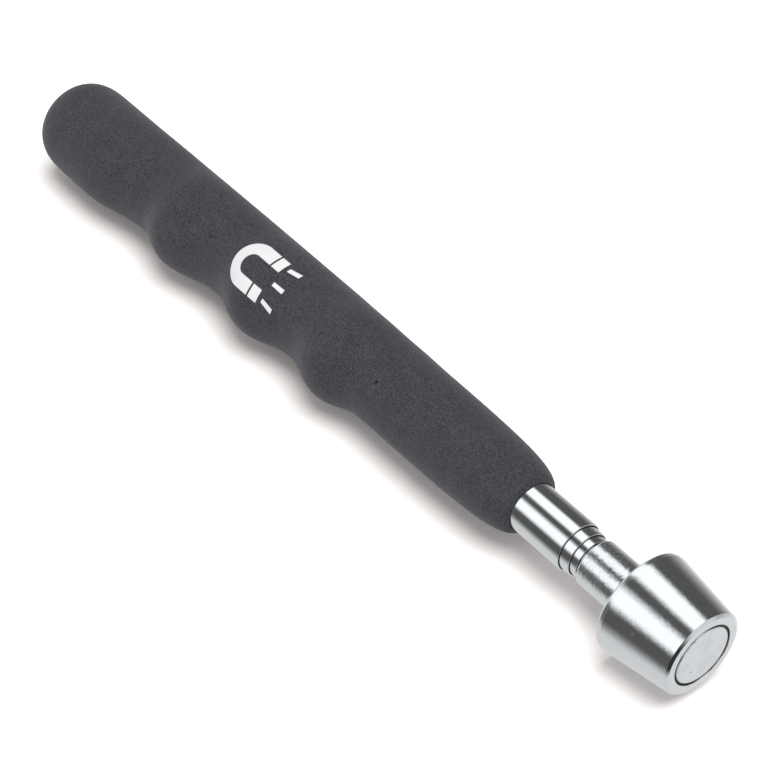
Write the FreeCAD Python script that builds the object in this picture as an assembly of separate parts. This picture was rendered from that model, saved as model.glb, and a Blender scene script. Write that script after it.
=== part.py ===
"""Telescoping magnetic pickup tool, as the separate pieces it is assembled from.

The tool lies on its side with its long axis along X: magnet at +X, closed end of the grip at -X, finger
hollows towards -Y. Z = 0 is the surface it lies on. A station is a distance behind the magnet's working
face, measured along the axis with every stage pushed in. Each piece is written to parts/NODE.step.
"""

import FreeCAD, Part

import math
import os
from collections import namedtuple

# Driving dimensions, in millimetres.
CLOSED_LENGTH = 201.5
HEAD_RADIUS = 11.1
OUTER_TUBE_RADIUS = 5.40
STAGE_STEP = 0.47  # each tube's radius is this much under the tube around it
WALL = 0.30
TRAVEL = 138.0  # how far each stage pulls out
GRIP_RADIUS = 9.1

AXIS_HEIGHT = HEAD_RADIUS
FACE_X = CLOSED_LENGTH / 2
FULL_TURN = 360.0

# Head.
MAGNET_RADIUS = 6.35
MAGNET_THICKNESS = 6.35
MAGNET_EDGE = 0.25
PLATE_THICKNESS = 2.0
RING_THICKNESS = 0.5
RING_RECESS = 0.35
POCKET_RADIUS = MAGNET_RADIUS + RING_THICKNESS
POCKET_DEPTH = MAGNET_THICKNESS + PLATE_THICKNESS
POCKET_EDGE = 0.2
RIM_RADIUS = 8.4
RIM_CHAMFER_RADIUS = 9.15
RIM_CHAMFER_DEPTH = 0.4
CAP_LENGTH = 16.8
SHOULDER_START = (15.2, HEAD_RADIUS)  # station and radius of the cap's widest edge
SHOULDER_ARC = ((15.985, 11.032), (16.289, 10.917), (16.489, 10.661))
SHOULDER_END = (CAP_LENGTH, 9.9)

# Neck, and the screw that draws the cap on to it.
NECK_RADIUS = 5.08
NECK_REAR = 28.6
NECK_EDGE = 0.9
NECK_FRONT_EDGE = 0.3
SPIGOT_RADIUS = 3.4
SPIGOT_LENGTH = 2.2
LIP_RECESS_CLEARANCE = 0.15
LIP_RECESS_DEPTH = 2.0
TUBE_SOCKET_DEPTH = 8.0
SCREW_RADIUS = 2.0
SCREW_HEAD_RADIUS = 3.8
SCREW_HEAD_DEPTH = 2.0
SCREW_REACH = 3.6  # length of thread in the neck
SCREW_SLOT_WIDTH = 0.9
SCREW_SLOT_DEPTH = 0.9
TAP_DRILL_SPARE = 0.8

# Tubes and the sprung shims that give them drag.
LIP_STATIONS = (33.2, 30.8, 29.2, 27.5)
LIP_CLEARANCE = 0.04
LIP_ROLL = 0.38
LIP_LENGTH = 1.1
LIP_BORE_LENGTH = 0.6
STOP_GAP = 0.3
BEAD_LENGTH = 0.9
FLARE_LENGTH = 2.0
FORMED_HEIGHT = 0.13  # how far beads and flares stand out of a tube
FORMED_RAMP = 0.25
SHIM_LENGTH = 7.0
SHIM_PLAY = 0.02  # radial, on each side
SHIM_END_PLAY = 0.2
SHIM_SPAN = 168.0  # degrees round the tube
OUTER_TUBE_REAR = 189.0

# End plug of the outer tube.
PLUG_DEPTH = 5.0
PLUG_FLANGE = 1.5
PLUG_HOLLOW_RADIUS = 3.4
PLUG_EDGE = 0.5

# Foam grip.
GRIP_FRONT = 46.6
GRIP_MOUTH_RADIUS = 5.8
NOSE_SCALE = 4.5
NOSE_POWER = 0.65
NOSE_LENGTH = 32.8
NOSE_STATIONS = 14
FOAM_BEHIND_PLUG = 0.2
SECTION_SPACING = 2.6
SIDES = (  # station, then how far the finger side and the back stand from the axis there
    (GRIP_FRONT + NOSE_LENGTH, GRIP_RADIUS, GRIP_RADIUS),
    (89.5, 9.05, 9.3),
    (100.5, 11.9, 9.2),
    (112.0, 9.25, 9.55),
    (125.5, 12.15, 9.3),
    (137.0, 9.5, 9.55),
    (152.5, 12.35, 9.22),
    (163.0, 9.85, 9.38),
    (181.5, 12.4, 9.0),
)
CROWN_POWER = 1.25  # above 1, the crowns are narrower than the hollows
END_LENGTH = 10.8  # rounding of the closed end
END_POWER = 3.2
END_STATIONS = 14
BUTTON_RADIUS = 1.6
BUTTON_HEIGHT = 0.4
END_RADIUS = (SIDES[-1][1] + SIDES[-1][2]) / 2
END_STATION = CLOSED_LENGTH - BUTTON_HEIGHT - END_LENGTH

Tube = namedtuple("Tube", "name radius bore front bead rear")


def x_at(station):
    return FACE_X - station


def on_section(station, radius):
    """Point above the axis, at a station and radius."""
    return FreeCAD.Vector(x_at(station), 0, AXIS_HEIGHT + radius)


def outline_face(steps):
    """Face inside a closed outline of (station, radius) corners.

    A step of two pairs is an arc: the pair it passes through, then the pair it ends on.
    """
    edges = []
    here = on_section(*steps[0])
    for step in list(steps[1:]) + [steps[0]]:
        if isinstance(step[0], tuple):
            through, there = (on_section(*pair) for pair in step)
            edges.append(Part.Arc(here, through, there).toShape())
        else:
            there = on_section(*step)
            edges.append(Part.LineSegment(here, there).toShape())
        here = there
    return Part.Face(Part.Wire(edges))


def turned(steps, start=0.0, sweep=FULL_TURN):
    """Solid made by turning an outline about the tool's axis."""
    centre = FreeCAD.Vector(0, 0, AXIS_HEIGHT)
    along = FreeCAD.Vector(1, 0, 0)
    face = outline_face(steps)
    face.rotate(centre, along, start)
    return outward(face.revolve(centre, along, sweep))


def outward(shape):
    """The shape's one solid, with its faces pointing out."""
    solid = shape.Solids[0]
    if solid.Volume < 0:
        solid.reverse()
    return solid


def rolled_edge(front, level, roll):
    """Arc step round a tube's front edge, from its front face to its outside at (front + roll, level)."""
    inset = roll * (1 - math.sqrt(0.5))
    return (front + inset, level - inset), (front + roll, level)


def circle_at(station, finger, back):
    """Section of the grip: a circle that reaches finger towards -Y and back towards +Y."""
    centre = FreeCAD.Vector(x_at(station), (back - finger) / 2, AXIS_HEIGHT)
    circle = Part.Circle(centre, FreeCAD.Vector(1, 0, 0), (back + finger) / 2)
    return Part.Wire(circle.toShape())


# Tubes.


def stage_tubes():
    """The five tubes, outermost first, with their stations when pushed in."""
    names = ("outer_tube", "second_tube", "third_tube", "fourth_tube", "fifth_tube")
    tubes = []
    for index, name in enumerate(names):
        radius = OUTER_TUBE_RADIUS - index * STAGE_STEP
        first, last = index == 0, index == len(names) - 1
        front = NECK_REAR - TUBE_SOCKET_DEPTH if last else LIP_STATIONS[index]
        bead = None
        rear = OUTER_TUBE_REAR
        if not first:
            bead = LIP_STATIONS[index - 1] + LIP_LENGTH + TRAVEL + STOP_GAP
            rear = bead + BEAD_LENGTH + SHIM_LENGTH + 2 * SHIM_END_PLAY + FLARE_LENGTH
        tubes.append(Tube(name, radius, radius - WALL, front, bead, rear))
    return tubes


def formed_rear(tube, level, height):
    """Outline steps along a tube's wall at a level, from its bead to its rear, over bead and flare."""
    flare = tube.rear - FLARE_LENGTH
    raised = level + height
    return [
        (tube.bead, level),
        (tube.bead + FORMED_RAMP, raised),
        (tube.bead + BEAD_LENGTH - FORMED_RAMP, raised),
        (tube.bead + BEAD_LENGTH, level),
        (flare, level),
        (flare + FORMED_RAMP, raised),
        (tube.rear, raised),
    ]


def wall_steps(tube, level):
    """Outline steps from near a tube's front to its rear, along its outside or its bore."""
    if tube.bead is None:
        return [(tube.rear, level)]
    return formed_rear(tube, level, FORMED_HEIGHT)


def lipped_tube(tube):
    """Tube whose front edge is rolled in round the next tube."""
    lip_bore = tube.radius - STAGE_STEP + LIP_CLEARANCE
    outside = wall_steps(tube, tube.radius)
    bore = wall_steps(tube, tube.bore)
    return turned(
        [(tube.front, lip_bore), (tube.front, tube.radius - LIP_ROLL)]
        + [rolled_edge(tube.front, tube.radius, LIP_ROLL)]
        + outside
        + bore[::-1]
        + [(tube.front + LIP_LENGTH, tube.bore), (tube.front + LIP_BORE_LENGTH, lip_bore)]
    )


def plain_tube(tube):
    """The innermost tube: its front end is cut square and sits in the neck."""
    outside = wall_steps(tube, tube.radius)
    bore = wall_steps(tube, tube.bore)
    return turned([(tube.front, tube.bore), (tube.front, tube.radius)] + outside + bore[::-1])


def friction_shims(tube, around):
    """The two half shells that ride between a tube and the bore of the tube around it."""
    front = tube.bead + BEAD_LENGTH + SHIM_END_PLAY
    inner = tube.radius + SHIM_PLAY
    outer = around.bore - SHIM_PLAY
    rear = front + SHIM_LENGTH
    outline = [(front, inner), (front, outer), (rear, outer), (rear, inner)]
    gap = (FULL_TURN / 2 - SHIM_SPAN) / 2
    halves = {}
    for side, start in (("upper", -90.0), ("lower", 90.0)):
        halves[side] = turned(outline, start + gap, SHIM_SPAN)
    return halves


def end_plug():
    """Cup pressed into the rear of the outer tube, so the stages can't come out through the foam."""
    bore = OUTER_TUBE_RADIUS - WALL
    front = OUTER_TUBE_REAR - PLUG_DEPTH
    rear = OUTER_TUBE_REAR + PLUG_FLANGE
    return turned(
        [
            (front, PLUG_HOLLOW_RADIUS),
            (front, bore - PLUG_EDGE),
            (front + PLUG_EDGE, bore),
            (OUTER_TUBE_REAR, bore),
            (OUTER_TUBE_REAR, OUTER_TUBE_RADIUS),
            (rear - PLUG_EDGE, OUTER_TUBE_RADIUS),
            (rear, OUTER_TUBE_RADIUS - PLUG_EDGE),
            (rear, 0),
            (OUTER_TUBE_REAR, 0),
            (OUTER_TUBE_REAR, PLUG_HOLLOW_RADIUS),
        ]
    )


# Head.


def head_cap():
    """Tapered steel cap with a pocket for the magnet and a seat for the neck's spigot."""
    spigot_seat = CAP_LENGTH - SPIGOT_LENGTH
    return turned(
        [
            (POCKET_EDGE, POCKET_RADIUS),
            (0, POCKET_RADIUS + POCKET_EDGE),
            (0, RIM_RADIUS),
            (RIM_CHAMFER_DEPTH, RIM_CHAMFER_RADIUS),
            SHOULDER_START,
            SHOULDER_ARC[0],
            SHOULDER_ARC[1:],
            SHOULDER_END,
            (CAP_LENGTH, SPIGOT_RADIUS),
            (spigot_seat, SPIGOT_RADIUS),
            (spigot_seat, SCREW_RADIUS),
            (POCKET_DEPTH + SCREW_HEAD_DEPTH, SCREW_RADIUS),
            (POCKET_DEPTH, SCREW_HEAD_RADIUS),
            (POCKET_DEPTH, POCKET_RADIUS),
        ]
    )


def neck():
    """Turned collar between the cap and the innermost tube, hollowed to clear the fourth tube's lip."""
    fourth, fifth = stage_tubes()[-2:]
    recess = fourth.radius + LIP_RECESS_CLEARANCE
    bend = NECK_EDGE * math.sqrt(0.5)
    level = NECK_RADIUS - NECK_EDGE
    edge_start = NECK_REAR - NECK_EDGE
    tapped_end = CAP_LENGTH + SCREW_REACH - SPIGOT_LENGTH + TAP_DRILL_SPARE
    return turned(
        [
            (CAP_LENGTH - SPIGOT_LENGTH, SCREW_RADIUS),
            (CAP_LENGTH - SPIGOT_LENGTH, SPIGOT_RADIUS),
            (CAP_LENGTH, SPIGOT_RADIUS),
            (CAP_LENGTH, NECK_RADIUS - NECK_FRONT_EDGE),
            (CAP_LENGTH + NECK_FRONT_EDGE, NECK_RADIUS),
            (edge_start, NECK_RADIUS),
            ((edge_start + bend, level + bend), (NECK_REAR, level)),
            (NECK_REAR, recess),
            (NECK_REAR - LIP_RECESS_DEPTH, recess),
            (NECK_REAR - LIP_RECESS_DEPTH, fifth.radius),
            (NECK_REAR - TUBE_SOCKET_DEPTH, fifth.radius),
            (NECK_REAR - TUBE_SOCKET_DEPTH, 0),
            (tapped_end, 0),
            (tapped_end, SCREW_RADIUS),
        ]
    )


def head_screw():
    """Slotted countersunk screw from the magnet's pocket into the neck."""
    tip = CAP_LENGTH + SCREW_REACH - SPIGOT_LENGTH
    screw = turned(
        [
            (POCKET_DEPTH, 0),
            (POCKET_DEPTH, SCREW_HEAD_RADIUS),
            (POCKET_DEPTH + SCREW_HEAD_DEPTH, SCREW_RADIUS),
            (tip, SCREW_RADIUS),
            (tip, 0),
        ]
    )
    slot = Part.makeBox(
        SCREW_SLOT_DEPTH,
        2 * SCREW_HEAD_RADIUS,
        SCREW_SLOT_WIDTH,
        FreeCAD.Vector(
            x_at(POCKET_DEPTH + SCREW_SLOT_DEPTH), -SCREW_HEAD_RADIUS, AXIS_HEIGHT - SCREW_SLOT_WIDTH / 2
        ),
    )
    return outward(screw.cut(slot))


def magnet():
    """Plated disc magnet, flush with the cap's rim."""
    return turned(
        [
            (0, 0),
            (0, MAGNET_RADIUS - MAGNET_EDGE),
            (MAGNET_EDGE, MAGNET_RADIUS),
            (MAGNET_THICKNESS, MAGNET_RADIUS),
            (MAGNET_THICKNESS, 0),
        ]
    )


def back_plate():
    """Steel disc that closes the magnet's rear pole, at the bottom of the pocket."""
    return turned(
        [
            (MAGNET_THICKNESS, 0),
            (MAGNET_THICKNESS, POCKET_RADIUS),
            (POCKET_DEPTH, POCKET_RADIUS),
            (POCKET_DEPTH, 0),
        ]
    )


def spacer_ring():
    """Non-magnetic ring between magnet and cap, set back a little from the face."""
    return turned(
        [
            (RING_RECESS, MAGNET_RADIUS),
            (RING_RECESS, POCKET_RADIUS),
            (MAGNET_THICKNESS, POCKET_RADIUS),
            (MAGNET_THICKNESS, MAGNET_RADIUS),
        ]
    )


# Grip.


def nose_radius(behind_mouth):
    """Radius of the grip's round front part, which is full size at its rear end."""
    fade, left = (math.exp(-((d / NOSE_SCALE) ** NOSE_POWER)) for d in (behind_mouth, NOSE_LENGTH))
    return GRIP_RADIUS - (GRIP_RADIUS - GRIP_MOUTH_RADIUS) * (fade - left) / (1 - left)


def crown_share(station, start, end, rising):
    """Share of the way from hollow to crown, between two stations of the finger side."""
    share = (1 - math.cos(math.pi * (station - start) / (end - start))) / 2
    return (share if rising else 1 - share) ** CROWN_POWER


def reaches(station):
    """How far the finger side and the back stand from the axis: crowns and hollows joined by waves."""
    for (start, finger, back), (end, next_finger, next_back) in zip(SIDES, SIDES[1:]):
        if station <= end:
            rising = next_finger > finger
            share = crown_share(station, start, end, rising)
            if not rising:
                finger, back, next_finger, next_back = next_finger, next_back, finger, back
            return finger + (next_finger - finger) * share, back + (next_back - back) * share
    return SIDES[-1][1:]


def turned_curve(points, centre):
    """Solid made by turning a smooth curve, given from front to rear, about a line through centre along X."""
    curve = Part.BSplineCurve()
    curve.interpolate(points)
    first, last = points[0], points[-1]
    corners = [
        last,
        FreeCAD.Vector(last.x, centre.y, centre.z),
        FreeCAD.Vector(first.x, centre.y, centre.z),
        first,
    ]
    sides = [Part.LineSegment(a, b).toShape() for a, b in zip(corners, corners[1:]) if a != b]
    face = Part.Face(Part.Wire([curve.toShape()] + sides))
    return outward(face.revolve(centre, FreeCAD.Vector(1, 0, 0), FULL_TURN))


def grip_nose():
    """Front part of the grip, round about the axis, which narrows to its mouth."""
    behind = [NOSE_LENGTH * (index / NOSE_STATIONS) ** 3 for index in range(NOSE_STATIONS + 1)]
    points = [on_section(GRIP_FRONT + distance, nose_radius(distance)) for distance in behind]
    return turned_curve(points, FreeCAD.Vector(0, 0, AXIS_HEIGHT))


def grip_handle():
    """Middle of the grip: nearly straight along the back, waved along the finger side."""
    start = GRIP_FRONT + NOSE_LENGTH
    count = round((END_STATION - start) / SECTION_SPACING)
    stations = [start + (END_STATION - start) * index / count for index in range(count + 1)]
    sections = [circle_at(station, *reaches(station)) for station in stations]
    return outward(Part.makeLoft(sections, True, False))


def grip_end():
    """Blunt rounded closed end, with the small button where the mould filled."""
    centre = FreeCAD.Vector(0, SIDES[-1][2] - END_RADIUS, AXIS_HEIGHT)
    points = []
    for index in range(END_STATIONS + 1):
        angle = math.pi / 2 * index / END_STATIONS
        radius = END_RADIUS * math.cos(angle) ** (2 / END_POWER)
        station = END_STATION + END_LENGTH * math.sin(angle) ** (2 / END_POWER)
        points.append(on_section(station, radius) + FreeCAD.Vector(0, centre.y, 0))
    rounding = turned_curve(points, centre)
    start = FreeCAD.Vector(x_at(END_STATION), centre.y, centre.z)
    length = END_LENGTH + BUTTON_HEIGHT
    button = Part.makeCylinder(BUTTON_RADIUS, length, start, FreeCAD.Vector(-1, 0, 0))
    return outward(rounding.fuse(button))


def grip():
    """Foam sleeve pushed over the outer tube and its plug."""
    whole = grip_nose().fuse([grip_handle(), grip_end()]).removeSplitter()
    depth = OUTER_TUBE_REAR + PLUG_FLANGE + FOAM_BEHIND_PLUG - GRIP_FRONT
    mouth = FreeCAD.Vector(x_at(GRIP_FRONT), 0, AXIS_HEIGHT)
    bore = Part.makeCylinder(OUTER_TUBE_RADIUS, depth, mouth, FreeCAD.Vector(-1, 0, 0))
    return outward(whole.cut(bore))


def all_pieces():
    """Every piece by the name of its node."""
    tubes = stage_tubes()
    pieces = {
        "grip": grip(),
        "end_plug": end_plug(),
        "neck": neck(),
        "head_cap": head_cap(),
        "head_screw": head_screw(),
        "back_plate": back_plate(),
        "spacer_ring": spacer_ring(),
        "magnet": magnet(),
    }
    for tube in tubes[:-1]:
        pieces[tube.name] = lipped_tube(tube)
    pieces[tubes[-1].name] = plain_tube(tubes[-1])
    for around, tube in zip(tubes, tubes[1:]):
        for side, shim in friction_shims(tube, around).items():
            pieces[f"{tube.name}_{side}_shim"] = shim
    return pieces


def main():
    os.makedirs("parts", exist_ok=True)
    for name, shape in all_pieces().items():
        if not shape.isValid() or not shape.isClosed():
            raise ValueError(f"{name} isn't a closed valid solid")
        shape.exportStep(f"parts/{name}.step")
        print(f"{name}: {shape.Volume:.1f} mm3")


main()
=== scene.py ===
"""Finished look of a telescoping magnetic pickup tool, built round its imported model.

Laid out as an add-on: a panel in the 3D view's sidebar lists one operator for each piece or group of like
pieces and one for the stage. The tool's axis lies along X with the magnet at +X, the finger hollows face
-Y, and Z = 0 is the surface it lies on. A station is a distance behind the magnet's working face with
every stage pushed in, in millimetres, as radii are. The frame itself is in metres.
"""

import math

import bpy
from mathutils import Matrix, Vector


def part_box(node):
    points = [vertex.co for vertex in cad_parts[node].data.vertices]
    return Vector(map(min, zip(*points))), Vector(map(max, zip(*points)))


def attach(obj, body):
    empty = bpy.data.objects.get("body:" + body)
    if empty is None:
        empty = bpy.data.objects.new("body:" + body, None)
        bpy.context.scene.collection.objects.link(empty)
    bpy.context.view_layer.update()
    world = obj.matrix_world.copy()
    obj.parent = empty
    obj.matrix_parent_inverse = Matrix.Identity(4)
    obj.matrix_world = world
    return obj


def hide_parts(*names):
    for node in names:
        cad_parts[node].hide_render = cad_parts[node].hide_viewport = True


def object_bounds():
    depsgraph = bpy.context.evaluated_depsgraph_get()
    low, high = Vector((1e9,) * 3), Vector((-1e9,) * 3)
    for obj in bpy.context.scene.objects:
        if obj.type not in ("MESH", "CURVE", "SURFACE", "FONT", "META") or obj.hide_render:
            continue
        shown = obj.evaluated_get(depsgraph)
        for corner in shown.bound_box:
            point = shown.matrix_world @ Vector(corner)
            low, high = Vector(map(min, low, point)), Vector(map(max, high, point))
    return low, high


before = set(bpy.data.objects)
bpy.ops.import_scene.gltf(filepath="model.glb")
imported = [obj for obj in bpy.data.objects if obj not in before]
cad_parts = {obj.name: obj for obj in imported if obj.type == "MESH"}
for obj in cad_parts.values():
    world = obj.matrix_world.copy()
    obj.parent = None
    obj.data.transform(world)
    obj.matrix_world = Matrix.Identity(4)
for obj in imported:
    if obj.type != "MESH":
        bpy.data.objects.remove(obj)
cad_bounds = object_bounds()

bl_info = {
    "name": "Magnetic pickup tool",
    "version": (1, 0, 0),
    "blender": (4, 5, 0),
    "location": "3D View > Sidebar > Pickup tool",
    "description": "Builds the finished pieces of a telescoping magnetic pickup tool round its packed model",
    "category": "Object",
}

MM = 0.001
FACE_X = cad_bounds[1].x / MM
AXIS_HEIGHT = sum(corner.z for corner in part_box("head_cap")) / 2 / MM

# How round pieces are divided.
ROUND_VERTICES = 128
ARC_STEP = math.radians(10)
EDGE_SUPPORT = 0.05  # a ring this far beside each rounded edge keeps the long faces true
SHARP_ANGLE = math.radians(32)
WELD_DISTANCE = 3e-6

# Head.
POCKET_RADIUS = 6.85
POCKET_DEPTH = 8.35
RIM_CHAMFER_RADIUS = 9.15
RIM_CHAMFER_DEPTH = 0.4
SHOULDER_CORNERS = ((15.2, 11.1, 0.12), (16.35, 11.0, 0.6), (16.8, 9.9, 0.2))  # station, radius, edge
SPIGOT_RADIUS = 3.4
SPIGOT_LENGTH = 2.2
SCREW_RADIUS = 2.0
SCREW_HEAD_RADIUS = 3.8
SCREW_HEAD_DEPTH = 2.0
TAPPED_END = 19.0
NECK_EDGE = 0.9
LIP_RECESS_DEPTH = 2.0
LIP_RECESS_CLEARANCE = 0.15
TUBE_SOCKET_DEPTH = 8.0
FINE_EDGE = 0.06

# Tubes.
STAGE_STEP = 0.47
WALL = 0.30
LIP_CLEARANCE = 0.04
LIP_ROLL = 0.38
LIP_LENGTH = 1.1
LIP_BORE_LENGTH = 0.6
BEAD_BEFORE_REAR = 10.3
BEAD_LENGTH = 0.9
FLARE_LENGTH = 2.0
FORMED_HEIGHT = 0.13
FORMED_RAMP = 0.25

# Grip.
LIP_ROUND = 0.2
NOSE_SCALE = 4.5
NOSE_POWER = 0.65
NOSE_LENGTH = 32.8
NOSE_RINGS = 34
NOSE_CROWDING = 2.2  # above 1, the rings stand closer together towards the mouth
BORE_RINGS = 12
BORE_STOP = 0.6  # how far behind the mouth the straight bore ends
LIP_RINGS = 6
HANDLE_RING_SPACING = 1.15
SIDES = (  # station, then how far the finger side and the back stand from the axis there
    (79.4, 9.1, 9.1),
    (89.5, 9.05, 9.3),
    (100.5, 11.9, 9.2),
    (112.0, 9.25, 9.55),
    (125.5, 12.15, 9.3),
    (137.0, 9.5, 9.55),
    (152.5, 12.35, 9.22),
    (163.0, 9.85, 9.38),
    (181.5, 12.4, 9.0),
)
GRIP_BACK = 9.1
CROWN_POWER = 1.25  # above 1, the crowns are narrower than the hollows
END_LENGTH = 10.8
END_POWER = 3.2
END_RINGS = 22
BUTTON_RADIUS = 1.6
BUTTON_HEIGHT = 0.4
BUTTON_EDGE = 0.15

# Printed magnet: where it is, its arch, how thick its band is, how far its legs go and where its poles
# part from them. Angles are in degrees round the axis.
PRINT_STATION = 126.7
PRINT_ANGLE = 124.0
PRINT_BOW = 3.9
PRINT_STROKE = 1.45
PRINT_LEGS = 6.0
PRINT_GAP = 3.6
PRINT_GAP_HALF = 0.22
PRINT_SOFT = 0.07

# Strokes before the printed magnet's poles.
STROKE_FAN = 0.05
STROKE_HALF_WIDTH = 0.42
STROKE_HALF_LENGTH = 1.4
STROKE_AWAY = 2.4

# Small marks, each a station, a reach from the axis, an angle and a radius.
SPECKS = ((86, 9.1, 132, 0.3), (93, 9.1, 134, 0.15), (59, 9.1, 104, 0.15))
NICKS = ((13.5, 10.9, 147, 0.17), (13, 10.8, 144, 0.12), (9, 10.3, 153, 0.19))

# Surface relief, in metres, and the painted shade darkening the inside of the tubes' lips.
DRAWN_RELIEF = 0.000002
CAP_RELIEF = 0.0000028
NECK_RELIEF = 0.000024
FINE_RELIEF = 0.000002
DISC_RELIEF = 0.0000025
FOAM_RELIEF = 0.00008
PLASTIC_RELIEF = 0.00001
# Painted shade: the colour, and the depth and gap over which it fades, of the darkening painted just inside
# each tube's lip.
LIP_SHADE_COLOUR = (0.03, 0.03, 0.032, 1.0)
LIP_SHADE_DEPTH = (0.34, 0.12)
LIP_SHADE_GAP = (0.27, 0.12)

# What polished metal sees round the tool: soft boxes and the pale table in a dark room. Each has the
# angle of its middle, turning from +Y up over the tool to -Y, its half width, the softness of its edge,
# all in degrees, and its brightness.
STUDIO_BOXES = {
    "overhead box": (76, 19, 8, 0.95),
    "finger side box": (143, 20, 10, 0.9),
    "far side reflector": (-25, 20, 25, 0.35),
    "pale table": (-90, 58, 18, 0.5),
}
STUDIO_DARK = 0.08
STUDIO_STRENGTH = 1.18
FLOOR_SIZE = 30.0
OVERHEAD_SPREAD = 43
OVERHEAD_TILT = 89
OVERHEAD_FORWARD = 0.20
FLOOR_LAMP_PLACE = (-150, -130, 110)  # station, side and height
FLOOR_LAMP_TARGET = (5, -15)
FLOOR_LAMP_SIZE = 0.12
CAMERA_PLACE = (-56.04, 47.62, 448.15)  # right, up and back from the middle of the magnet's face
SENSOR_WIDTH = 36.0

TUBES = ("outer_tube", "second_tube", "third_tube", "fourth_tube", "fifth_tube")
STAGE_BODY = {
    "outer_tube": "handle",
    "second_tube": "second_stage",
    "third_tube": "third_stage",
    "fourth_tube": "fourth_stage",
    "fifth_tube": "fifth_stage",
}


def stations(node):
    """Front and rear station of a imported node."""
    low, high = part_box(node)
    return FACE_X - high.x / MM, FACE_X - low.x / MM


def half_width(node):
    """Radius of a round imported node, from its height."""
    low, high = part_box(node)
    return (high.z - low.z) / 2 / MM


# Outlines.


def rounded_corner(before, corner, after, radius):
    """Points that take an outline round one corner on an arc, with a support point on each side."""
    here = Vector(corner)
    arm_in = Vector(before) - here
    arm_out = Vector(after) - here
    shorter = min(arm_in.length, arm_out.length)
    arm_in.normalize()
    arm_out.normalize()
    opening = arm_in.angle(arm_out)
    if radius == 0 or math.pi - opening < ARC_STEP / 2:
        return [tuple(here)]
    reach = min(radius / math.tan(opening / 2), shorter * 0.48)
    radius = reach * math.tan(opening / 2)
    middle = here + (arm_in + arm_out).normalized() * radius / math.sin(opening / 2)
    start = here + arm_in * reach
    end = here + arm_out * reach
    turn = math.pi - opening
    count = max(2, math.ceil(turn / ARC_STEP))
    first, last = start - middle, end - middle
    points = []
    if reach + EDGE_SUPPORT < shorter * 0.45:
        points.append(tuple(start + arm_in * EDGE_SUPPORT))
    for index in range(count + 1):
        share = index / count
        weights = math.sin((1 - share) * turn), math.sin(share * turn)
        points.append(tuple(middle + (first * weights[0] + last * weights[1]) / math.sin(turn)))
    if reach + EDGE_SUPPORT < shorter * 0.45:
        points.append(tuple(end + arm_out * EDGE_SUPPORT))
    return points


def rounded_outline(corners, joined):
    """Outline of (station, radius) points through corners given as (station, radius, edge radius)."""
    points = []
    count = len(corners)
    for index, (station, level, edge) in enumerate(corners):
        if not joined and index in (0, count - 1):
            points.append((station, level))
            continue
        before, after = corners[index - 1][:2], corners[(index + 1) % count][:2]
        points += rounded_corner(before, (station, level), after, edge)
    return points


# Modelling.


def place(station, side=0.0):
    """Point of the frame at a station, side millimetres to +Y of the axis."""
    return Vector(((FACE_X - station) * MM, side * MM, AXIS_HEIGHT * MM))


def model_rings(name, rings, joined):
    """Model a round piece: a circle, extruded once for each further ring of (station, side, radius).

    A joined piece ends on the ring it began with. Any other has a flat disc at both ends.
    """
    station, side, radius = rings[0]
    here = place(station, side)
    bpy.ops.object.select_all(action="DESELECT")
    bpy.ops.mesh.primitive_circle_add(
        vertices=ROUND_VERTICES,
        radius=radius * MM,
        fill_type="NOTHING" if joined else "TRIFAN",
        location=here,
        rotation=(0, math.pi / 2, 0),
    )
    piece = bpy.context.object
    piece.name = name
    piece.data.name = name
    bpy.ops.object.transform_apply(location=True, rotation=True, scale=True)
    bpy.ops.object.mode_set(mode="EDIT")
    bpy.ops.mesh.select_all(action="SELECT")
    if not joined:
        bpy.ops.mesh.region_to_loop()
    for station, side, next_radius in rings[1:]:
        there = place(station, side)
        bpy.ops.mesh.extrude_region_move(TRANSFORM_OT_translate={"value": there - here})
        growth = next_radius / radius
        if abs(growth - 1) > 1e-9:
            bpy.ops.transform.resize(value=(1, growth, growth), center_override=there)
        here, radius = there, next_radius
    if not joined:
        bpy.ops.mesh.extrude_region_move()
        bpy.ops.mesh.merge(type="CENTER")
    bpy.ops.mesh.select_all(action="SELECT")
    bpy.ops.mesh.remove_doubles(threshold=WELD_DISTANCE)
    bpy.ops.mesh.normals_make_consistent(inside=False)
    bpy.ops.object.mode_set(mode="OBJECT")
    bpy.ops.object.shade_smooth_by_angle(angle=SHARP_ANGLE)
    return piece


def model_turned(name, corners):
    """Model a piece turned about the tool's axis, from its outline's corners.

    An outline that begins and ends on the axis makes a solid end to end; any other makes a hollow piece.
    """
    on_axis = corners[0][1] == 0
    points = rounded_outline(corners, joined=not on_axis)
    if on_axis:
        points = points[1:-1]
    else:
        points.append(points[0])
    return model_rings(name, [(station, 0.0, level) for station, level in points], joined=not on_axis)


def finish_piece(piece, body, node, material):
    """Put a piece on its body, in its node's place and its material."""
    piece.data.materials.append(material)
    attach(piece, body)
    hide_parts(node)
    return piece


# Materials.


class Value:
    """A node's output that can be used in arithmetic; each operation adds its own Math node."""

    def __init__(self, shader, socket):
        self.shader = shader
        self.socket = socket

    def combine(self, operation, first, second):
        return self.shader.value("ShaderNodeMath", {"operation": operation}, {0: first, 1: second})

    def __add__(self, other):
        return self.combine("ADD", self, other)

    def __radd__(self, other):
        return self.combine("ADD", other, self)

    def __sub__(self, other):
        return self.combine("SUBTRACT", self, other)

    def __rsub__(self, other):
        return self.combine("SUBTRACT", other, self)

    def __mul__(self, other):
        return self.combine("MULTIPLY", self, other)

    def __rmul__(self, other):
        return self.combine("MULTIPLY", other, self)

    def __truediv__(self, other):
        return self.combine("DIVIDE", self, other)

    def __rtruediv__(self, other):
        return self.combine("DIVIDE", other, self)

    def __abs__(self):
        return self.shader.value("ShaderNodeMath", {"operation": "ABSOLUTE"}, {0: self})

    def at_least(self, other):
        return self.combine("MAXIMUM", self, other)

    def at_most(self, other):
        return self.combine("MINIMUM", self, other)


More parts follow.
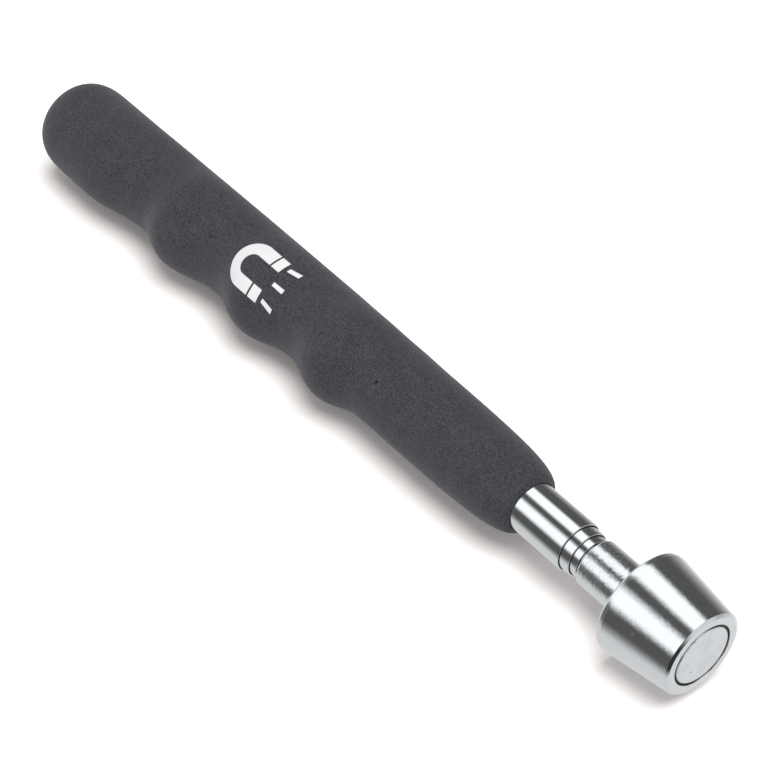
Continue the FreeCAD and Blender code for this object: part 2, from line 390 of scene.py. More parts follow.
class Shader:
    """Adds nodes to the tree of a new material, or of the world."""

    def __init__(self, owner):
        owner.use_nodes = True
        self.owner = owner
        self.tree = owner.node_tree
        self.tree.nodes.clear()

    def node(self, kind, settings=None, inputs=None):
        """One node: its type, then its settings, then the values or links of its sockets."""
        made = self.tree.nodes.new(kind)
        for name, setting in (settings or {}).items():
            if name == "stops":
                self.set_stops(made.color_ramp, setting)
            else:
                setattr(made, name, setting)
        for key, given in (inputs or {}).items():
            socket = made.inputs[key]
            if isinstance(given, Value):
                self.tree.links.new(given.socket, socket)
            elif isinstance(given, bpy.types.NodeSocket):
                self.tree.links.new(given, socket)
            else:
                socket.default_value = given
        return made

    def value(self, kind, settings=None, inputs=None, output=0):
        """An output of a new node, ready for arithmetic."""
        return Value(self, self.node(kind, settings, inputs).outputs[output])

    def set_stops(self, ramp, stops):
        """Fill a ramp with grey stops of (place, level)."""
        while len(ramp.elements) > 1:
            ramp.elements.remove(ramp.elements[-1])
        for index, (where, level) in enumerate(stops):
            element = ramp.elements[0] if index == 0 else ramp.elements.new(where)
            element.position = where
            element.color = (level, level, level, 1)

    def position(self):
        """Place on the piece, in metres of the frame."""
        return self.node("ShaderNodeTexCoord").outputs["Object"]

    def parts(self, vector):
        """The x, y and z of a vector."""
        split = self.node("ShaderNodeSeparateXYZ", None, {0: vector})
        return [Value(self, socket) for socket in split.outputs]

    def joined(self, x, y, z):
        """A vector from its x, y and z."""
        return self.node("ShaderNodeCombineXYZ", None, {0: x, 1: y, 2: z}).outputs[0]

    def stretched(self, vector, scale):
        """A vector with each part scaled by its own number."""
        settings = {"vector_type": "POINT"}
        return self.node("ShaderNodeMapping", settings, {"Vector": vector, "Scale": scale}).outputs[0]

    def noise(self, vector, scale=1.0, detail=2.0, roughness=0.5):
        """Soft noise between 0 and 1."""
        inputs = {"Vector": vector, "Scale": scale, "Detail": detail, "Roughness": roughness}
        return self.value("ShaderNodeTexNoise", None, inputs)

    def spots(self, vector, scale, randomness=1.0):
        """Distance to the nearest of scattered points, in cells."""
        inputs = {"Vector": vector, "Scale": scale, "Randomness": randomness}
        return self.value("ShaderNodeTexVoronoi", None, inputs)

    def ease(self, given, low, high):
        """0 below low and 1 above high, with a soft passage between; low may be the larger."""
        settings = {"interpolation_type": "SMOOTHSTEP"}
        inputs = {"Value": given, "From Min": low, "From Max": high}
        return self.value("ShaderNodeMapRange", settings, inputs)

    def mix(self, share, first, second):
        """Colour between two colours."""
        return self.node(
            "ShaderNodeMix", {"data_type": "RGBA"}, {0: share, 6: first, 7: second}
        ).outputs[2]

    def bump(self, height, distance, strength=1.0):
        """Normal of a surface raised by height times distance."""
        inputs = {"Height": height, "Distance": distance, "Strength": strength}
        return self.node("ShaderNodeBump", None, inputs).outputs[0]

    def surface(self, **inputs):
        """Close the material with the main shader; underscores stand for spaces in socket names."""
        named = {key.replace("_", " "): given for key, given in inputs.items()}
        named.setdefault("IOR", 1.5)
        shader = self.node("ShaderNodeBsdfPrincipled", None, named)
        self.node("ShaderNodeOutputMaterial", None, {"Surface": shader.outputs[0]})
        return self.owner


def new_shader(name):
    return Shader(bpy.data.materials.new(name))


def opaque(colour, factor=1.0):
    """A colour setting as four numbers, made lighter or darker by a factor."""
    return (colour[0] * factor, colour[1] * factor, colour[2] * factor, 1.0)


def axis_radius(shader, y, z):
    """Distance from the tool's axis."""
    offset = shader.joined(0.0, y, z - AXIS_HEIGHT * MM)
    return shader.value("ShaderNodeVectorMath", {"operation": "LENGTH"}, {0: offset}, output=1)


def drawn_metal(name, colour, roughness, front, lip_bore):
    """Chromed tube: faint lines along it from the drawing die, clouded polish, and painted shade darkening
    the inside of its lip, where the next tube comes out.
    """
    shader = new_shader(name)
    where = shader.position()
    x, y, z = shader.parts(where)
    depth = (FACE_X - front) * MM - x
    gap = axis_radius(shader, y, z) - lip_bore * MM
    shallow = shader.ease(depth, LIP_SHADE_DEPTH[0] * MM, LIP_SHADE_DEPTH[1] * MM)
    # Painted shade: darkens the chrome just inside the lip, next to the tube that slides out of it. The same
    # mask also roughens it there.
    lip_shade = shallow * shader.ease(gap, LIP_SHADE_GAP[0] * MM, LIP_SHADE_GAP[1] * MM)
    lines = shader.noise(shader.stretched(where, (14.0, 5200.0, 5200.0)), 1.0, 3.0, 0.6)
    clouds = shader.noise(where, 420.0, 3.0)
    clean = shader.mix(lines, opaque(colour, 0.95), opaque(colour))
    return shader.surface(
        Base_Color=shader.mix(lip_shade, clean, LIP_SHADE_COLOUR),
        Metallic=1.0,
        Roughness=roughness + lines * 0.05 + clouds * 0.04 + lip_shade * 0.4,
        Normal=shader.bump(lines, DRAWN_RELIEF),
    )


def turned_metal(name, colour, roughness, ridge, chatter=0.5, pitch=4000.0, nicks=False):
    """Metal turned on a lathe: fine rings round the axis, tool chatter, clouding, and handling nicks."""
    shader = new_shader(name)
    where = shader.position()
    x, y, z = shader.parts(where)
    level = axis_radius(shader, y, z)
    rings = shader.noise(shader.joined(x * pitch, level * pitch, y * 60.0), 1.0, 2.0, 0.7)
    waver = shader.noise(shader.stretched(where, (2600.0, 900.0, 900.0)), 1.0, 2.0, 0.6)
    clouds = shader.noise(where, 700.0, 4.0, 0.6)
    height = rings + waver * chatter
    tone = shader.mix(clouds, opaque(colour, 0.94), opaque(colour))
    if nicks:
        nick = shader.ease(shader.spots(where, 330.0), 0.085, 0.05)
        chosen = shader.ease(shader.noise(where, 150.0, 1.0), 0.60, 0.66)
        mark = (nick * chosen).at_least(speck_mask(shader, where, NICKS))
        tone = shader.mix(mark, tone, opaque(colour, 0.3))
        height = height - mark * 14.0
    return shader.surface(
        Base_Color=tone,
        Metallic=1.0,
        Roughness=roughness + rings * 0.06 + clouds * 0.05,
        Normal=shader.bump(height, ridge),
    )


def plated_disc(name, colour, roughness):
    """Dull nickel plating of a magnet: blotches, fine grain and a few dark pits."""
    shader = new_shader(name)
    where = shader.position()
    blotches = shader.noise(where, 260.0, 4.0, 0.6)
    grain = shader.noise(where, 5200.0, 2.0)
    pit = shader.ease(shader.spots(where, 430.0), 0.11, 0.06)
    chosen = shader.ease(shader.noise(where, 210.0, 1.0), 0.50, 0.58)
    clean = shader.mix(shader.ease(blotches, 0.35, 0.62), opaque(colour, 0.9), opaque(colour))
    return shader.surface(
        Base_Color=shader.mix(pit * chosen, clean, opaque(colour, 0.28)),
        Metallic=1.0,
        Roughness=roughness + blotches * 0.12 + grain * 0.05,
        Normal=shader.bump(grain + blotches * 1.5 - pit * chosen * 8.0, DISC_RELIEF),
    )


def print_mask(shader, where):
    """1 inside a white print of a plain horseshoe magnet with three strokes before its poles."""
    x, y, z = shader.parts(where)
    lean = math.radians(PRINT_ANGLE)
    along = (x - (FACE_X - PRINT_STATION) * MM) / MM
    across = ((z - AXIS_HEIGHT * MM) * math.cos(lean) - y * math.sin(lean)) / MM
    outwards = (z - AXIS_HEIGHT * MM) * math.sin(lean) + y * math.cos(lean)
    behind = along.at_most(0.0)
    bend = shader.joined(behind, across, 0.0)
    bow = shader.value("ShaderNodeVectorMath", {"operation": "LENGTH"}, {0: bend}, output=1)
    band = shader.ease(abs(bow - PRINT_BOW), PRINT_STROKE + PRINT_SOFT, PRINT_STROKE - PRINT_SOFT)
    legs_end = shader.ease(along, PRINT_LEGS + PRINT_SOFT, PRINT_LEGS - PRINT_SOFT)
    pole_gap = shader.ease(
        abs(along - PRINT_GAP), PRINT_GAP_HALF - PRINT_SOFT, PRINT_GAP_HALF + PRINT_SOFT
    )
    magnet = band * legs_end * pole_gap
    fan = 1 + (along - PRINT_LEGS) * STROKE_FAN
    spread = abs(abs(across / fan) - PRINT_BOW / 2) - PRINT_BOW / 2
    stroke = shader.ease(
        abs(spread), STROKE_HALF_WIDTH + PRINT_SOFT, STROKE_HALF_WIDTH - PRINT_SOFT
    )
    middle = abs(along - PRINT_LEGS - STROKE_AWAY)
    length = shader.ease(
        middle, STROKE_HALF_LENGTH + PRINT_SOFT, STROKE_HALF_LENGTH - PRINT_SOFT
    )
    front = shader.ease(outwards, 0.0, MM)
    return (magnet + stroke * length).at_most(1.0) * front


def speck_mask(shader, where, specks):
    """1 at a few small marks, each given by its station, reach from the axis, angle and radius."""
    mask = 0.0
    for station, reach, angle, radius in specks:
        lean = math.radians(angle)
        centre = place(station) + Vector((0, math.cos(lean), math.sin(lean))) * reach * MM
        gap = shader.value(
            "ShaderNodeVectorMath", {"operation": "DISTANCE"}, {0: where, 1: centre}, output=1
        )
        mask = shader.ease(gap, radius * 1.35 * MM, radius * 0.75 * MM) + mask
    return mask


def moulded_foam(name, settings):
    """Closed-cell foam with a skin: fine cells, a slightly mottled charcoal, and the white print."""
    shader = new_shader(name)
    where = shader.position()
    cells = shader.noise(where, 2700.0, 3.0, 0.75)
    pores = shader.spots(where, 3300.0)
    mottle = shader.noise(where, 230.0, 3.0, 0.6)
    tone = cells * 0.88 + mottle * 0.12
    dark = opaque(settings.foam_colour, 0.62)
    light = opaque(settings.foam_colour, 1.38)
    foam = shader.mix(shader.ease(tone, 0.38, 0.62), dark, light)
    ink = print_mask(shader, where)
    worn = shader.noise(where, 2600.0, 2.0)
    covered = ink * (1 - shader.ease(worn, 0.62, 0.80) * 0.35)
    printed = shader.mix(covered, foam, opaque(settings.print_colour))
    marked = shader.mix(speck_mask(shader, where, SPECKS), printed, opaque(settings.foam_colour, 0.04))
    return shader.surface(
        Base_Color=marked,
        Roughness=0.80 + cells * 0.18 - ink * 0.15,
        Specular_IOR_Level=0.12,
        Sheen_Weight=0.16,
        Sheen_Roughness=0.45,
        Sheen_Tint=(0.86, 0.88, 0.95, 1.0),
        Normal=shader.bump((cells + pores * 0.6) * (1 - ink * 0.6), FOAM_RELIEF, settings.grain),
    )


def moulded_plastic(name, colour):
    """Plain moulded plastic with a fine spark-eroded grain."""
    shader = new_shader(name)
    where = shader.position()
    grain = shader.noise(where, 3000.0, 3.0, 0.6)
    return shader.surface(
        Base_Color=shader.mix(grain, opaque(colour, 0.8), opaque(colour, 1.2)),
        Roughness=0.42 + grain * 0.2,
        Normal=shader.bump(grain, PLASTIC_RELIEF),
    )


# Settings.


def colour_setting(name, description, default):
    return bpy.props.FloatVectorProperty(
        name=name, description=description, subtype="COLOR", size=3, min=0.0, max=1.0, default=default
    )


def share_setting(name, description, default):
    return bpy.props.FloatProperty(
        name=name, description=description, subtype="FACTOR", min=0.0, max=1.0, default=default
    )


def size_setting(name, description, default):
    return bpy.props.FloatProperty(
        name=name, description=description, subtype="DISTANCE", unit="LENGTH", default=default
    )


class HeadSettings(bpy.types.PropertyGroup):
    """Sizes and colours of the head and the neck."""

    rim_radius: size_setting("Rim radius", "Outer radius of the flat rim round the magnet", 8.4 * MM)
    neck_edge: size_setting("Neck edge", "Rounding of the neck's rear edge", NECK_EDGE * MM)
    steel_colour: colour_setting("Steel", "Colour of the plated cap and neck", (0.865, 0.89, 0.91))
    steel_roughness: share_setting("Steel roughness", "Least roughness of the cap", 0.05)
    neck_roughness: share_setting("Neck roughness", "Least roughness of the neck", 0.10)
    magnet_colour: colour_setting("Magnet", "Colour of the magnet's plating", (0.90, 0.925, 0.945))
    magnet_roughness: share_setting("Magnet roughness", "Least roughness of the magnet's plating", 0.26)
    # Painted shade: the brass ring round the magnet is tarnished, and it is darkened to near black for the
    # shade of the groove it sits in.
    ring_shade_colour: colour_setting("Ring", "Colour of the tarnished ring round the magnet", (0.045, 0.042, 0.04))


class TubeSettings(bpy.types.PropertyGroup):
    """Sizes and colours of the telescoping tubes and their shims."""

    lip_roll: size_setting("Lip roll", "Radius of the rolled edge at the mouth of each tube", LIP_ROLL * MM)
    chrome_colour: colour_setting("Chrome", "Colour of the chromed tubes", (0.86, 0.885, 0.905))
    chrome_roughness: share_setting("Chrome roughness", "Least roughness of the chrome", 0.05)
    brass_colour: colour_setting("Shims", "Colour of the sprung brass shims", (0.78, 0.57, 0.28))


class GripSettings(bpy.types.PropertyGroup):
    """Sizes and colours of the foam grip and the plug inside it."""

    mouth_radius: size_setting("Mouth radius", "Outer radius of the foam at its mouth", 5.8 * MM)
    foam_colour: colour_setting("Foam", "Colour of the foam", (0.0315, 0.0335, 0.0385))
    print_colour: colour_setting("Print", "Colour of the printed mark", (0.50, 0.50, 0.51))
    grain: share_setting("Grain", "How strongly the foam's cells show", 0.35)
    plug_colour: colour_setting("Plug", "Colour of the plug in the outer tube", (0.03, 0.03, 0.032))


class StageSettings(bpy.types.PropertyGroup):
    """The stage the tool is shown on."""

    azimuth: bpy.props.FloatProperty(
        name="Azimuth",
        description="Direction the camera stands in",
        subtype="ANGLE",
        default=math.radians(51.12),
    )
    elevation: bpy.props.FloatProperty(
        name="Elevation", description="Height of the camera", subtype="ANGLE", default=math.radians(44.67)
    )
    focal_length: bpy.props.FloatProperty(
        name="Focal length", description="Lens of the camera", unit="CAMERA", default=115.38
    )
    floor_colour: colour_setting("Floor", "Colour of the floor", (0.80, 0.785, 0.775))
    key_strength: bpy.props.FloatProperty(
        name="Key", description="Strength of the large light overhead", min=0.0, default=3.7
    )
    floor_fill: bpy.props.FloatProperty(
        name="Floor fill",
        description="Power of the lamp that lights the floor by the head",
        min=0.0,
        default=0.08,
    )
    fill_strength: bpy.props.FloatProperty(
        name="Fill", description="Strength of the light from all round", min=0.0, default=0.56
    )


class PickupToolSettings(bpy.types.PropertyGroup):
    """All the settings of the tool."""

    head: bpy.props.PointerProperty(name="Head", description="Head and neck", type=HeadSettings)
    tubes: bpy.props.PointerProperty(name="Tubes", description="Telescoping tubes", type=TubeSettings)
    grip: bpy.props.PointerProperty(name="Grip", description="Foam grip", type=GripSettings)
    stage: bpy.props.PointerProperty(name="Stage", description="Floor, lights and camera", type=StageSettings)


# Pieces.


class PICKUP_OT_head_cap(bpy.types.Operator):
    """Model the tapered steel cap with the magnet's pocket"""

    bl_idname = "pickup.head_cap"
    bl_label = "Head cap"

    def execute(self, context):
        settings = context.scene.pickup_tool.head
        front, rear = stations("head_cap")
        rim = settings.rim_radius / MM
        corners = [
            (front, POCKET_RADIUS, 0.12),
            (front, rim, FINE_EDGE),
            (RIM_CHAMFER_DEPTH, RIM_CHAMFER_RADIUS, 0.1),
            *SHOULDER_CORNERS,
            (rear, SPIGOT_RADIUS, FINE_EDGE),
            (rear - SPIGOT_LENGTH, SPIGOT_RADIUS, FINE_EDGE),
            (rear - SPIGOT_LENGTH, SCREW_RADIUS, FINE_EDGE),
            (POCKET_DEPTH + SCREW_HEAD_DEPTH, SCREW_RADIUS, FINE_EDGE),
            (POCKET_DEPTH, SCREW_HEAD_RADIUS, FINE_EDGE),
            (POCKET_DEPTH, POCKET_RADIUS, FINE_EDGE),
        ]
        steel = turned_metal(
            "cap_steel",
            settings.steel_colour,
            settings.steel_roughness,
            CAP_RELIEF,
            chatter=9.0,
            nicks=True,
        )
        piece = model_turned("tapered_head_cap", corners)
        finish_piece(piece, "fifth_stage", "head_cap", steel)
        return {"FINISHED"}


class PICKUP_OT_magnet(bpy.types.Operator):
    """Model the disc magnet and the ring that spaces it from the cap"""

    bl_idname = "pickup.magnet"
    bl_label = "Magnet and ring"

    def execute(self, context):
        settings = context.scene.pickup_tool.head
        front, rear = stations("magnet")
        radius = half_width("magnet")
        corners = [
            (front, 0, 0),
            (front, radius, 0.25),
            (rear, radius, FINE_EDGE),
            (rear, 0, 0),
        ]
        nickel = plated_disc("magnet_nickel", settings.magnet_colour, settings.magnet_roughness)
        disc = model_turned("disc_magnet", corners)
        finish_piece(disc, "fifth_stage", "magnet", nickel)
        front, rear = stations("spacer_ring")
        corners = [
            (front, radius, 0.05),
            (front, POCKET_RADIUS, 0.05),
            (rear, POCKET_RADIUS, 0.05),
            (rear, radius, 0.05),
        ]
        # Painted shade: the ring's near-black colour stands in for the shade of its groove round the magnet.
        brass = turned_metal("ring_brass", settings.ring_shade_colour, 0.38, FINE_RELIEF)
        ring = model_turned("magnet_spacer_ring", corners)
        finish_piece(ring, "fifth_stage", "spacer_ring", brass)
        return {"FINISHED"}


class PICKUP_OT_neck(bpy.types.Operator):
    """Model the turned collar between the head and the innermost tube"""

    bl_idname = "pickup.neck"
    bl_label = "Neck"

    def execute(self, context):
        settings = context.scene.pickup_tool.head
        front, rear = stations("neck")
        radius = half_width("neck")
        shoulder = front + SPIGOT_LENGTH
        fifth = half_width("outer_tube") - 4 * STAGE_STEP
        recess = fifth + STAGE_STEP + LIP_RECESS_CLEARANCE
        socket_end = rear - TUBE_SOCKET_DEPTH
        corners = [
            (TAPPED_END, 0, 0),
            (TAPPED_END, SCREW_RADIUS, FINE_EDGE),
            (front, SCREW_RADIUS, FINE_EDGE),
            (front, SPIGOT_RADIUS, FINE_EDGE),
            (shoulder, SPIGOT_RADIUS, FINE_EDGE),
            (shoulder, radius, 0.3),
            (rear, radius, settings.neck_edge / MM),
            (rear, recess, FINE_EDGE),
            (rear - LIP_RECESS_DEPTH, recess, FINE_EDGE),
            (rear - LIP_RECESS_DEPTH, fifth, FINE_EDGE),
            (socket_end, fifth, FINE_EDGE),
            (socket_end, 0, 0),
        ]
        steel = turned_metal(
            "neck_steel",
            settings.steel_colour,
            settings.neck_roughness,
            NECK_RELIEF,
            chatter=3.0,
            pitch=4200.0,
        )
        piece = model_turned("turned_neck", corners)
        finish_piece(piece, "fifth_stage", "neck", steel)
        return {"FINISHED"}


def formed_wall(level, rear):
    """Corners of a sliding tube's wall from its bead to its rear, over bead and flare."""
    bead = rear - BEAD_BEFORE_REAR
    flare = rear - FLARE_LENGTH
    raised = level + FORMED_HEIGHT
    return [
        (bead, level, 0.1),
        (bead + FORMED_RAMP, raised, 0.1),
        (bead + BEAD_LENGTH - FORMED_RAMP, raised, 0.1),
        (bead + BEAD_LENGTH, level, 0.1),
        (flare, level, 0.1),
        (flare + FORMED_RAMP, raised, 0.1),
        (rear, raised, FINE_EDGE),
    ]


class PICKUP_OT_tubes(bpy.types.Operator):
    """Model the five tubes that slide in one another"""

    bl_idname = "pickup.tubes"
    bl_label = "Tubes"

    def execute(self, context):
        settings = context.scene.pickup_tool.tubes
        for index, node in enumerate(TUBES):
            front, rear = stations(node)
            radius = half_width("outer_tube") - index * STAGE_STEP
            bore = radius - WALL
            if index == 0:
                outside, inside = [(rear, radius, FINE_EDGE)], [(rear, bore, FINE_EDGE)]
            else:
                outside, inside = formed_wall(radius, rear), formed_wall(bore, rear)
            if node == TUBES[-1]:
                mouth = [(front, bore, FINE_EDGE), (front, radius, FINE_EDGE)]
                throat = []
            else:
                lip_bore = radius - STAGE_STEP + LIP_CLEARANCE
                mouth = [(front, lip_bore, FINE_EDGE), (front, radius, settings.lip_roll / MM)]
                throat = [(front + LIP_LENGTH, bore, 0.1), (front + LIP_BORE_LENGTH, lip_bore, 0.1)]
            chrome = drawn_metal(
                f"{node}_chrome",
                settings.chrome_colour,
                settings.chrome_roughness,
                front,
                radius - STAGE_STEP + LIP_CLEARANCE,
            )
            piece = model_turned(f"{node}_drawn", mouth + outside + inside[::-1] + throat)
            finish_piece(piece, STAGE_BODY[node], node, chrome)
        return {"FINISHED"}


def reaches(station):
    """How far the finger side and the back stand from the axis: crowns and hollows joined by waves."""
    for (start, *here), (end, *there) in zip(SIDES, SIDES[1:]):
        if station <= end:
            share = (1 - math.cos(math.pi * (station - start) / (end - start))) / 2
            if there[0] < here[0]:
                here, there, share = there, here, 1 - share
            share = share**CROWN_POWER
            return [low + (high - low) * share for low, high in zip(here, there)]
    return SIDES[-1][1:]


def grip_rings(front, rear, bore, bore_end, mouth):
    """Sections of the grip: from the bottom of its bore, out at the mouth, and back over the outside."""
    rings = []
    for index in range(BORE_RINGS + 1):
        share = index / BORE_RINGS
        rings.append((bore_end + (front + BORE_STOP - bore_end) * share, 0.0, bore))
    lip = LIP_ROUND
    for index in range(LIP_RINGS + 1):
        angle = math.pi * index / LIP_RINGS
        rings.append((front + lip - lip * math.sin(angle), 0.0, bore + lip - lip * math.cos(angle)))
    middle_fade = math.exp(-((NOSE_LENGTH / NOSE_SCALE) ** NOSE_POWER))
    for index in range(1, NOSE_RINGS + 1):
        behind = NOSE_LENGTH * (index / NOSE_RINGS) ** NOSE_CROWDING
        if behind < 2 * lip:
            continue
        fade = math.exp(-((behind / NOSE_SCALE) ** NOSE_POWER))
        drop = (GRIP_BACK - mouth) * (fade - middle_fade) / (1 - middle_fade)
        rings.append((front + behind, 0.0, GRIP_BACK - drop))
    start = front + NOSE_LENGTH
    finger, back = SIDES[-1][1:]
    end_radius = (back + finger) / 2
    end_side = back - end_radius
    end_start = rear - BUTTON_HEIGHT - END_LENGTH
    count = round((end_start - start) / HANDLE_RING_SPACING)
    for index in range(1, count + 1):
        station = start + (end_start - start) * index / count
        finger, back = reaches(station)
        rings.append((station, (back - finger) / 2, (back + finger) / 2))
    for index in range(1, END_RINGS + 1):
        angle = math.pi / 2 * index / END_RINGS
        radius = end_radius * math.cos(angle) ** (2 / END_POWER)
        if radius < BUTTON_RADIUS + 0.3:
            break
        station = end_start + END_LENGTH * math.sin(angle) ** (2 / END_POWER)
        rings.append((station, end_side, radius))
    end = rear - BUTTON_HEIGHT
    rings += [(end, end_side, BUTTON_RADIUS + BUTTON_EDGE), (end + 0.05, end_side, BUTTON_RADIUS)]
    rings += [(rear - BUTTON_EDGE, end_side, BUTTON_RADIUS), (rear - 0.04, end_side, BUTTON_RADIUS - 0.05)]
    rings.append((rear, end_side, BUTTON_RADIUS - BUTTON_EDGE))
    return rings


class PICKUP_OT_grip(bpy.types.Operator):
    """Model the moulded foam grip"""

    bl_idname = "pickup.grip"
    bl_label = "Foam grip"

    def execute(self, context):
        settings = context.scene.pickup_tool.grip
        front, rear = stations("grip")
        bore_end = stations("end_plug")[1] + 0.2
        bore = half_width("outer_tube")
        rings = grip_rings(front, rear, bore, bore_end, settings.mouth_radius / MM)
        piece = model_rings("foam_grip", rings, joined=False)
        foam = moulded_foam("grip_foam", settings)
        finish_piece(piece, "handle", "grip", foam)
        return {"FINISHED"}


class PICKUP_OT_inner_pieces(bpy.types.Operator):
    """Give the pieces inside the tool their materials"""

    bl_idname = "pickup.inner_pieces"
    bl_label = "Inner pieces"

    def execute(self, context):
        tool = context.scene.pickup_tool
        brass = turned_metal("shim_brass", tool.tubes.brass_colour, 0.22, FINE_RELIEF)
        finishes = {
            "end_plug": moulded_plastic("plug_plastic", tool.grip.plug_colour),
            "head_screw": turned_metal("screw_steel", (0.46, 0.46, 0.47), 0.25, 0.000003),
            "back_plate": turned_metal("plate_steel", (0.55, 0.55, 0.56), 0.28, 0.000004),
        }
        for node in TUBES[1:]:
            for side in ("upper", "lower"):
                finishes[f"{node}_{side}_shim"] = brass
        for node, material in finishes.items():
            give_material(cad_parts[node], material)
        return {"FINISHED"}


def give_material(piece, material):
    """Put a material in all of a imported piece's slots."""
    if not piece.material_slots:
        piece.data.materials.append(material)
    for slot in piece.material_slots:
        slot.material = material


# Stage.


def studio_world(settings):
    """World that is white to the camera, soft to dull surfaces and a lit studio to polished ones."""
    world = bpy.data.worlds.new("studio")
    bpy.context.scene.world = world
    shader = Shader(world)
    ray = shader.node("ShaderNodeLightPath").outputs
    seen = Value(shader, ray["Is Camera Ray"])
    glossy = Value(shader, ray["Is Glossy Ray"])
    direction = shader.node("ShaderNodeTexCoord").outputs["Generated"]
    x, y, z = shader.parts(direction)
    angle = shader.value("ShaderNodeMath", {"operation": "ARCTAN2"}, {0: z, 1: y})
    level = STUDIO_DARK
    for middle, half, edge, brightness in STUDIO_BOXES.values():
        away = abs(angle - math.radians(middle))
        level = shader.ease(away, math.radians(half + edge), math.radians(half - edge)) * brightness + level
    sides = shader.mix(level, (0, 0, 0, 1), (1, 1, 1, 1))
    past_tail = shader.mix(shader.ease(x, -0.55, -0.80), sides, (0.60, 0.60, 0.60, 1))
    past_head = shader.mix(shader.ease(y, 0.25, -0.05), (0.6, 0.6, 0.6, 1), (0.025, 0.025, 0.025, 1))
    around = shader.mix(shader.ease(x, 0.64, 0.80), past_tail, past_head)
    low = shader.ease(abs(z - 0.15), 0.45, 0.0)
    soft = shader.mix(low * shader.ease(y, 0.3, -0.4), (1.0, 0.94, 0.92, 1), (3.3, 3.25, 3.3, 1))
    backgrounds = []
    for colour, strength in (
        (soft, settings.fill_strength),
        (around, STUDIO_STRENGTH),
        ((1, 1, 1, 1), 1.0),
    ):
        node = shader.node("ShaderNodeBackground", None, {"Color": colour, "Strength": strength})
        backgrounds.append(node.outputs[0])
    lit = shader.node("ShaderNodeMixShader", None, {0: glossy, 1: backgrounds[0], 2: backgrounds[1]})
    shown = shader.node("ShaderNodeMixShader", None, {0: seen, 1: lit.outputs[0], 2: backgrounds[2]})
    shader.node("ShaderNodeOutputWorld", None, {"Surface": shown.outputs[0]})
    world.cycles.sampling_method = "NONE"


def plain_floor(settings):
    """Large pale floor under the tool."""
    bpy.ops.object.select_all(action="DESELECT")
    bpy.ops.mesh.primitive_plane_add(size=FLOOR_SIZE)
    floor = bpy.context.object
    floor.name = "floor"
    floor.visible_glossy = False
    shader = new_shader("pale_floor")
    tone = shader.noise(shader.position(), 3.0)
    colour = shader.mix(tone, opaque(settings.floor_colour, 0.99), opaque(settings.floor_colour))
    floor.data.materials.append(shader.surface(Base_Color=colour, Roughness=1.0, Specular_IOR_Level=0.0))


def overhead_light(settings):
    """Broad soft light almost straight overhead, a little towards the head and the back."""
    bpy.ops.object.light_add(type="SUN", location=(0, 0, 1))
    lamp = bpy.context.object
    lamp.name = "overhead_light"
    lamp.data.energy = settings.key_strength
    lamp.data.angle = math.radians(OVERHEAD_SPREAD)
    tilt = math.radians(OVERHEAD_TILT)
    towards = Vector((OVERHEAD_FORWARD, math.cos(tilt), math.sin(tilt)))
    lamp.rotation_mode = "QUATERNION"
    lamp.rotation_quaternion = towards.to_track_quat("Z", "Y")
    lamp.visible_glossy = False


def floor_fill_light(settings):
    """Soft lamp beyond the head on the finger side, which lightens the floor there."""
    station, side, height = FLOOR_LAMP_PLACE
    spot = place(station, side) + Vector((0, 0, height * MM))
    bpy.ops.object.light_add(type="AREA", location=spot)
    lamp = bpy.context.object
    lamp.name = "floor_fill_light"
    lamp.data.size = FLOOR_LAMP_SIZE
    lamp.data.energy = settings.floor_fill
    lamp.rotation_mode = "QUATERNION"
    lamp.rotation_quaternion = (spot - place(*FLOOR_LAMP_TARGET)).to_track_quat("Z", "Y")
    lamp.visible_glossy = False


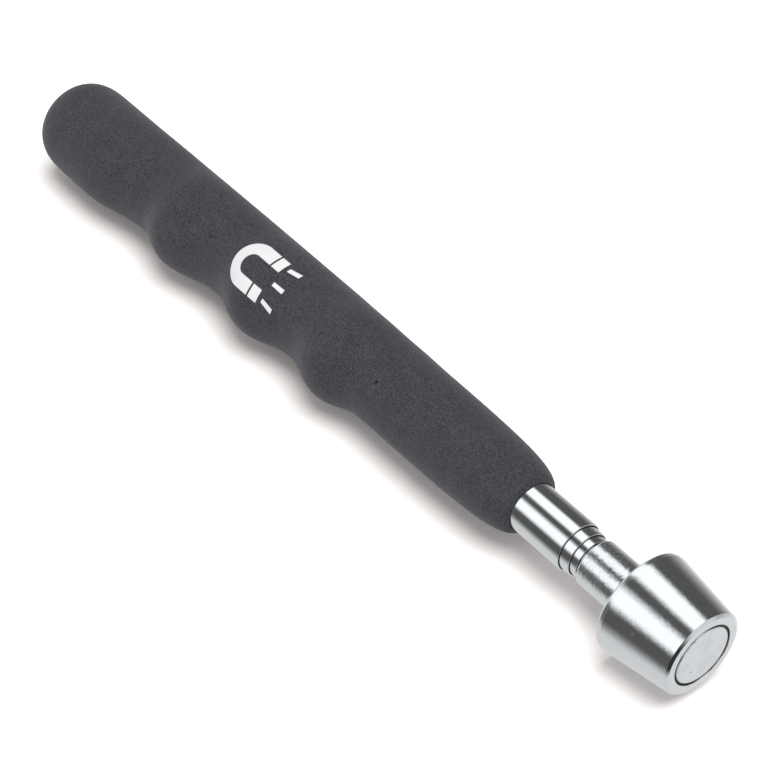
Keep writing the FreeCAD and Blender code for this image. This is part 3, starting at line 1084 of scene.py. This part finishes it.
def stage_camera(settings):
    """Camera beyond the head, on the finger side, looking down on the tool."""
    azimuth, elevation = settings.azimuth, settings.elevation
    back = Vector(
        (
            math.sin(azimuth) * math.cos(elevation),
            -math.cos(azimuth) * math.cos(elevation),
            math.sin(elevation),
        )
    )
    right = Vector((math.cos(azimuth), math.sin(azimuth), 0))
    up = back.cross(right)
    aside, above, away = CAMERA_PLACE
    bpy.ops.object.camera_add(location=place(0) + (right * aside + up * above + back * away) * MM)
    camera = bpy.context.object
    camera.name = "camera"
    camera.rotation_mode = "QUATERNION"
    camera.rotation_quaternion = (-back).to_track_quat("-Z", "Y")
    camera.data.lens = settings.focal_length
    camera.data.sensor_width = SENSOR_WIDTH
    camera.data.clip_start = 0.02
    camera.data.clip_end = 40.0
    bpy.context.scene.camera = camera


class PICKUP_OT_stage(bpy.types.Operator):
    """Set up the floor, the lights and the camera"""

    bl_idname = "pickup.stage"
    bl_label = "Stage"

    def execute(self, context):
        settings = context.scene.pickup_tool.stage
        context.scene.view_settings.view_transform = "Standard"
        studio_world(settings)
        plain_floor(settings)
        overhead_light(settings)
        floor_fill_light(settings)
        stage_camera(settings)
        return {"FINISHED"}


OPERATORS = (
    PICKUP_OT_head_cap,
    PICKUP_OT_magnet,
    PICKUP_OT_neck,
    PICKUP_OT_tubes,
    PICKUP_OT_grip,
    PICKUP_OT_inner_pieces,
    PICKUP_OT_stage,
)


class PICKUP_PT_pieces(bpy.types.Panel):
    """Lists the tool's pieces, each with the settings it is made from"""

    bl_idname = "PICKUP_PT_pieces"
    bl_label = "Pickup tool"
    bl_space_type = "VIEW_3D"
    bl_region_type = "UI"
    bl_category = "Pickup tool"

    def draw(self, context):
        layout = self.layout
        tool = context.scene.pickup_tool
        for group in (tool.head, tool.tubes, tool.grip, tool.stage):
            box = layout.box()
            for name in group.__annotations__:
                box.prop(group, name)
        for operator in OPERATORS:
            layout.operator(operator.bl_idname)


CLASSES = (
    HeadSettings,
    TubeSettings,
    GripSettings,
    StageSettings,
    PickupToolSettings,
    *OPERATORS,
    PICKUP_PT_pieces,
)


def register():
    for item in CLASSES:
        bpy.utils.register_class(item)
    bpy.types.Scene.pickup_tool = bpy.props.PointerProperty(type=PickupToolSettings)


def unregister():
    del bpy.types.Scene.pickup_tool
    for item in reversed(CLASSES):
        bpy.utils.unregister_class(item)


def main():
    register()
    bpy.ops.pickup.head_cap()
    bpy.ops.pickup.magnet()
    bpy.ops.pickup.neck()
    bpy.ops.pickup.tubes()
    bpy.ops.pickup.grip()
    bpy.ops.pickup.inner_pieces()
    bpy.ops.pickup.stage()


if __name__ == "__main__":
    main()
